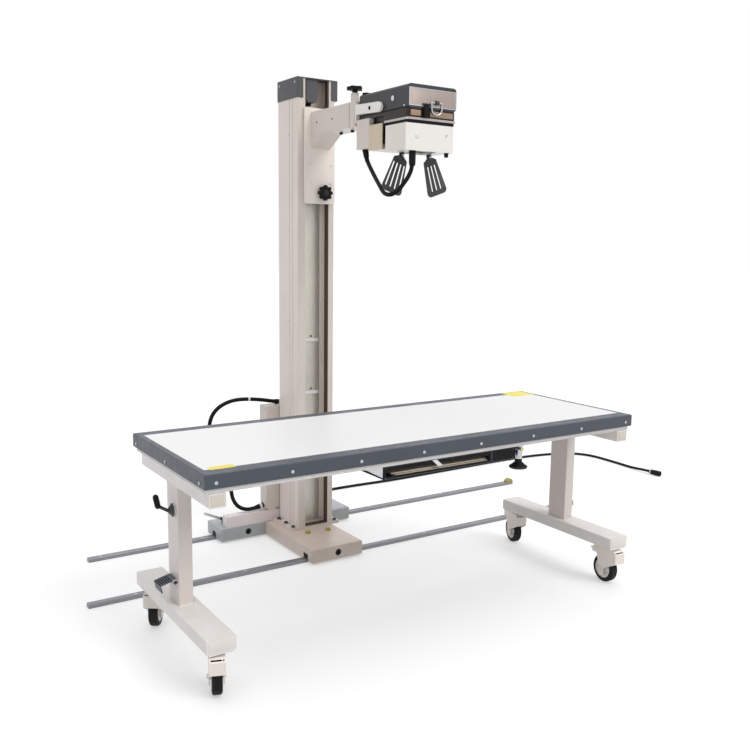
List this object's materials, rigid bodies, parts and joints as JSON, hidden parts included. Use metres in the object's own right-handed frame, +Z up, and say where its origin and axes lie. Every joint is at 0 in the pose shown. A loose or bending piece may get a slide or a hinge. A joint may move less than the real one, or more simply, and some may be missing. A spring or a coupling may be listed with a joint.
{
  "type": "radiography table",
  "caption": "Radiography table on swivel casters with an image tray, and a floor-rail column stand with a counterweighted arm, tube head and collimator.",
  "frame": {"origin": "middle of the whole base on the floor, measured without the supply cable and its connector", "axes": "+X along the table and the floor rails to the right, +Y from the table front towards the column, +Z up"},
  "size_m": [3.8205, 2.0149, 2.284],
  "materials": {
    "cream_paint": "smooth cream enamel with slight orange peel",
    "white_laminate": "smooth white laminate",
    "zinc_steel": "bright zinc-plated steel, lightly brushed",
    "tyre_rubber": "black tyre on a cream disc",
    "slate_paint": "blue-grey powder coat",
    "black_plastic": "fine-grained black plastic",
    "black_rubber": "smooth black rubber",
    "beige_panel": "satin beige coating",
    "olive_plastic": "soft olive-yellow plastic",
    "dark_paint": "dark grey textured enamel",
    "bronze_paint": "dark bronze enamel",
    "iron": "painted casting"
  },
  "bodies": {
    "base_rails": {"floor_rails": "zinc_steel", "rail_stops": "olive_plastic"},
    "trolley": {"trolley_frame": "cream_paint", "rail_wipers": "black_rubber", "trolley_caps": "olive_plastic", "cable_duct": "cream_paint", "control_box": "cream_paint", "service_loop": "black_rubber", "supply_cable": "black_rubber", "cable_plug": "black_plastic", "column_base": "cream_paint", "column": "cream_paint", "column_cap": "dark_paint", "column_liner": "zinc_steel", "slot_strip": "black_plastic", "pulley_block": "dark_paint"},
    "front_roller": {"roller_front": "zinc_steel"},
    "rear_left_roller": {"roller_rear_left": "zinc_steel"},
    "rear_right_roller": {"roller_rear_right": "zinc_steel"},
    "lock_lever": {"trolley_lever": "zinc_steel"},
    "pulley_wheel": {"pulley": "zinc_steel"},
    "weight": {"counterweight": "iron"},
    "carriage_arm": {"carriage": "cream_paint", "arm": "cream_paint"},
    "carriage_lock": {"carriage_knob": "black_plastic"},
    "swivel_lock": {"arm_knob": "black_plastic"},
    "swivel_clamp": {"arm_clamp": "black_plastic"},
    "head": {"yoke": "cream_paint", "head_case": "dark_paint", "head_band": "bronze_paint", "collimator": "cream_paint", "rear_box": "cream_paint", "head_hose": "black_rubber"},
    "latch": {"head_latch": "black_plastic"},
    "bail": {"head_handle": "dark_paint"},
    "left_flap": {"flap_left": "dark_paint"},
    "right_flap": {"flap_right": "dark_paint"},
    "table": {"top_panel": "white_laminate", "edge_frame": "slate_paint", "edge_screws": "zinc_steel", "subframe": "cream_paint", "leg_left": "cream_paint", "leg_right": "cream_paint", "slide_rails": "zinc_steel"},
    "tray": {"tray_frame": "black_plastic", "tray_slats": "beige_panel", "tray_brackets": "zinc_steel"},
    "tray_lock": {"tray_knob": "black_plastic"},
    "height_lever": {"hand_lever": "slate_paint"},
    "foot_pedal": {"brake_pedal": "slate_paint"},
    "fork_front_left": {"fork_front_left": "cream_paint"},
    "wheel_front_left": {"wheel_front_left": "tyre_rubber"},
    "fork_rear_left": {"fork_rear_left": "cream_paint"},
    "wheel_rear_left": {"wheel_rear_left": "tyre_rubber"},
    "fork_front_right": {"fork_front_right": "cream_paint"},
    "wheel_front_right": {"wheel_front_right": "tyre_rubber"},
    "fork_rear_right": {"fork_rear_right": "cream_paint"},
    "wheel_rear_right": {"wheel_rear_right": "tyre_rubber"},
    "brake_front_left": {"brake_front_left": "zinc_steel"},
    "brake_front_right": {"brake_front_right": "zinc_steel"}
  },
  "joints": [
    {"name": "trolley_slide", "type": "slide", "parent": "base_rails", "child": "trolley", "axis": [1, 0, 0], "range_m": [-0.6, 1.2]},
    {"name": "front_roller_spin", "type": "hinge", "parent": "trolley", "child": "front_roller", "pos_m": [-0.2375, 0.20175, 0.04005], "axis": [0, 1, 0], "range_deg": [-1594, 3188]},
    {"name": "rear_left_roller_spin", "type": "hinge", "parent": "trolley", "child": "rear_left_roller", "pos_m": [-0.4775, 0.72975, 0.04005], "axis": [0, 1, 0], "range_deg": [-1594, 3188]},
    {"name": "rear_right_roller_spin", "type": "hinge", "parent": "trolley", "child": "rear_right_roller", "pos_m": [0.0025, 0.72975, 0.04005], "axis": [0, 1, 0], "range_deg": [-1594, 3188]},
    {"name": "lock_lever_turn", "type": "hinge", "parent": "trolley", "child": "lock_lever", "pos_m": [-0.5715, 0.72475, 0.095], "axis": [0, 1, 0], "range_deg": [-20, 60]},
    {"name": "carriage_lift", "type": "slide", "parent": "trolley", "child": "carriage_arm", "axis": [0, 0, 1], "range_m": [-0.8, 0.015]},
    {"name": "weight_lift", "type": "slide", "parent": "trolley", "child": "weight", "axis": [0, 0, 1], "range_m": [-0.016, 0.81]},
    {"name": "pulley_spin", "type": "hinge", "parent": "trolley", "child": "pulley_wheel", "pos_m": [-0.2185, 0.50225, 2.232], "axis": [1, 0, 0], "range_deg": [-1350, 60]},
    {"name": "carriage_lock_turn", "type": "hinge", "parent": "carriage_arm", "child": "carriage_lock", "pos_m": [-0.1675, 0.41075, 1.752], "axis": [0, -1, 0], "range_deg": [-90, 180]},
    {"name": "swivel_lock_turn", "type": "hinge", "parent": "carriage_arm", "child": "swivel_lock", "pos_m": [-0.2115, 0.05875, 2.126], "axis": [0, 0, 1], "range_deg": [-180, 90]},
    {"name": "swivel_clamp_turn", "type": "hinge", "parent": "carriage_arm", "child": "swivel_clamp", "pos_m": [-0.1515, 0.05875, 2.126], "axis": [0, 0, 1], "range_deg": [-180, 90]},
    {"name": "head_swivel", "type": "hinge", "parent": "carriage_arm", "child": "head", "pos_m": [-0.1845, 0.01975, 2.072], "axis": [0, 1, 0], "range_deg": [-90, 90]},
    {"name": "latch_turn", "type": "hinge", "parent": "head", "child": "latch", "pos_m": [-0.1335, -0.36825, 2.072], "axis": [-1, 0, 0], "range_deg": [0, 80]},
    {"name": "bail_turn", "type": "hinge", "parent": "head", "child": "bail", "pos_m": [-0.0815, -0.36775, 2.083], "axis": [-1, 0, 0], "range_deg": [0, 80]},
    {"name": "left_flap_turn", "type": "hinge", "parent": "head", "child": "left_flap", "pos_m": [-0.1815, -0.26625, 1.877], "axis": [0, 1, 0], "range_deg": [0, 20]},
    {"name": "right_flap_turn", "type": "hinge", "parent": "head", "child": "right_flap", "pos_m": [-0.0415, -0.26625, 1.877], "axis": [0, -1, 0], "range_deg": [0, 20]},
    {"name": "table_roll", "type": "slide", "parent": "base_rails", "child": "table", "axis": [1, 0, 0], "range_m": [-0.3, 0.3]},
    {"name": "tray_slide", "type": "slide", "parent": "table", "child": "tray", "axis": [1, 0, 0], "range_m": [-0.5, 0.5]},
    {"name": "tray_lock_turn", "type": "hinge", "parent": "tray", "child": "tray_lock", "pos_m": [0.0865, -0.74825, 0.655], "axis": [0, 0, 1], "range_deg": [-180, 90]},
    {"name": "height_lever_turn", "type": "hinge", "parent": "table", "child": "height_lever", "pos_m": [-1.2595, -0.44125, 0.572], "axis": [1, 0, 0], "range_deg": [-45, 45]},
    {"name": "foot_pedal_turn", "type": "hinge", "parent": "table", "child": "foot_pedal", "pos_m": [-1.2688, -0.42725, 0.312], "axis": [0, -1, 0], "range_deg": [0, 20]},
    {"name": "swivel_front_left", "type": "hinge", "parent": "table", "child": "fork_front_left", "pos_m": [-1.2335, -0.74625, 0.1627], "axis": [0, 0, 1], "continuous": true},
    {"name": "wheel_front_left_spin", "type": "hinge", "parent": "fork_front_left", "child": "wheel_front_left", "pos_m": [-1.22461, -0.72182, 0.0625], "axis": [0.9397, -0.342, 0], "continuous": true},
    {"name": "swivel_rear_left", "type": "hinge", "parent": "table", "child": "fork_rear_left", "pos_m": [-1.2335, -0.12225, 0.1627], "axis": [0, 0, 1], "continuous": true},
    {"name": "wheel_rear_left_spin", "type": "hinge", "parent": "fork_rear_left", "child": "wheel_rear_left", "pos_m": [-1.21934, -0.10045, 0.0625], "axis": [0.8387, -0.5446, 0], "continuous": true},
    {"name": "swivel_front_right", "type": "hinge", "parent": "table", "child": "fork_front_right", "pos_m": [0.6705, -0.74625, 0.1627], "axis": [0, 0, 1], "continuous": true},
    {"name": "wheel_front_right_spin", "type": "hinge", "parent": "fork_front_right", "child": "wheel_front_right", "pos_m": [0.67277, -0.72035, 0.0625], "axis": [0.9962, -0.0872, 0], "continuous": true},
    {"name": "swivel_rear_right", "type": "hinge", "parent": "table", "child": "fork_rear_right", "pos_m": [0.6705, -0.12225, 0.1627], "axis": [0, 0, 1], "continuous": true},
    {"name": "wheel_rear_right_spin", "type": "hinge", "parent": "fork_rear_right", "child": "wheel_rear_right", "pos_m": [0.6781, -0.09739, 0.0625], "axis": [0.9563, -0.2924, 0], "continuous": true},
    {"name": "brake_front_left_turn", "type": "hinge", "parent": "fork_front_left", "child": "brake_front_left", "pos_m": [-1.20819, -0.67671, 0.1447], "axis": [-0.9397, 0.342, 0], "range_deg": [0, 15]},
    {"name": "brake_front_right_turn", "type": "hinge", "parent": "fork_front_right", "child": "brake_front_right", "pos_m": [0.67695, -0.67253, 0.1447], "axis": [-0.9962, 0.0872, 0], "range_deg": [0, 15]}
  ],
  "couplings": [
    {"joint": "front_roller_spin", "follows": "trolley_slide", "rad_per_m": 45.455},
    {"joint": "rear_left_roller_spin", "follows": "trolley_slide", "rad_per_m": 45.455},
    {"joint": "rear_right_roller_spin", "follows": "trolley_slide", "rad_per_m": 45.455},
    {"joint": "weight_lift", "follows": "carriage_lift", "ratio": -1},
    {"joint": "pulley_spin", "follows": "carriage_lift", "rad_per_m": 27.778}
  ]
}
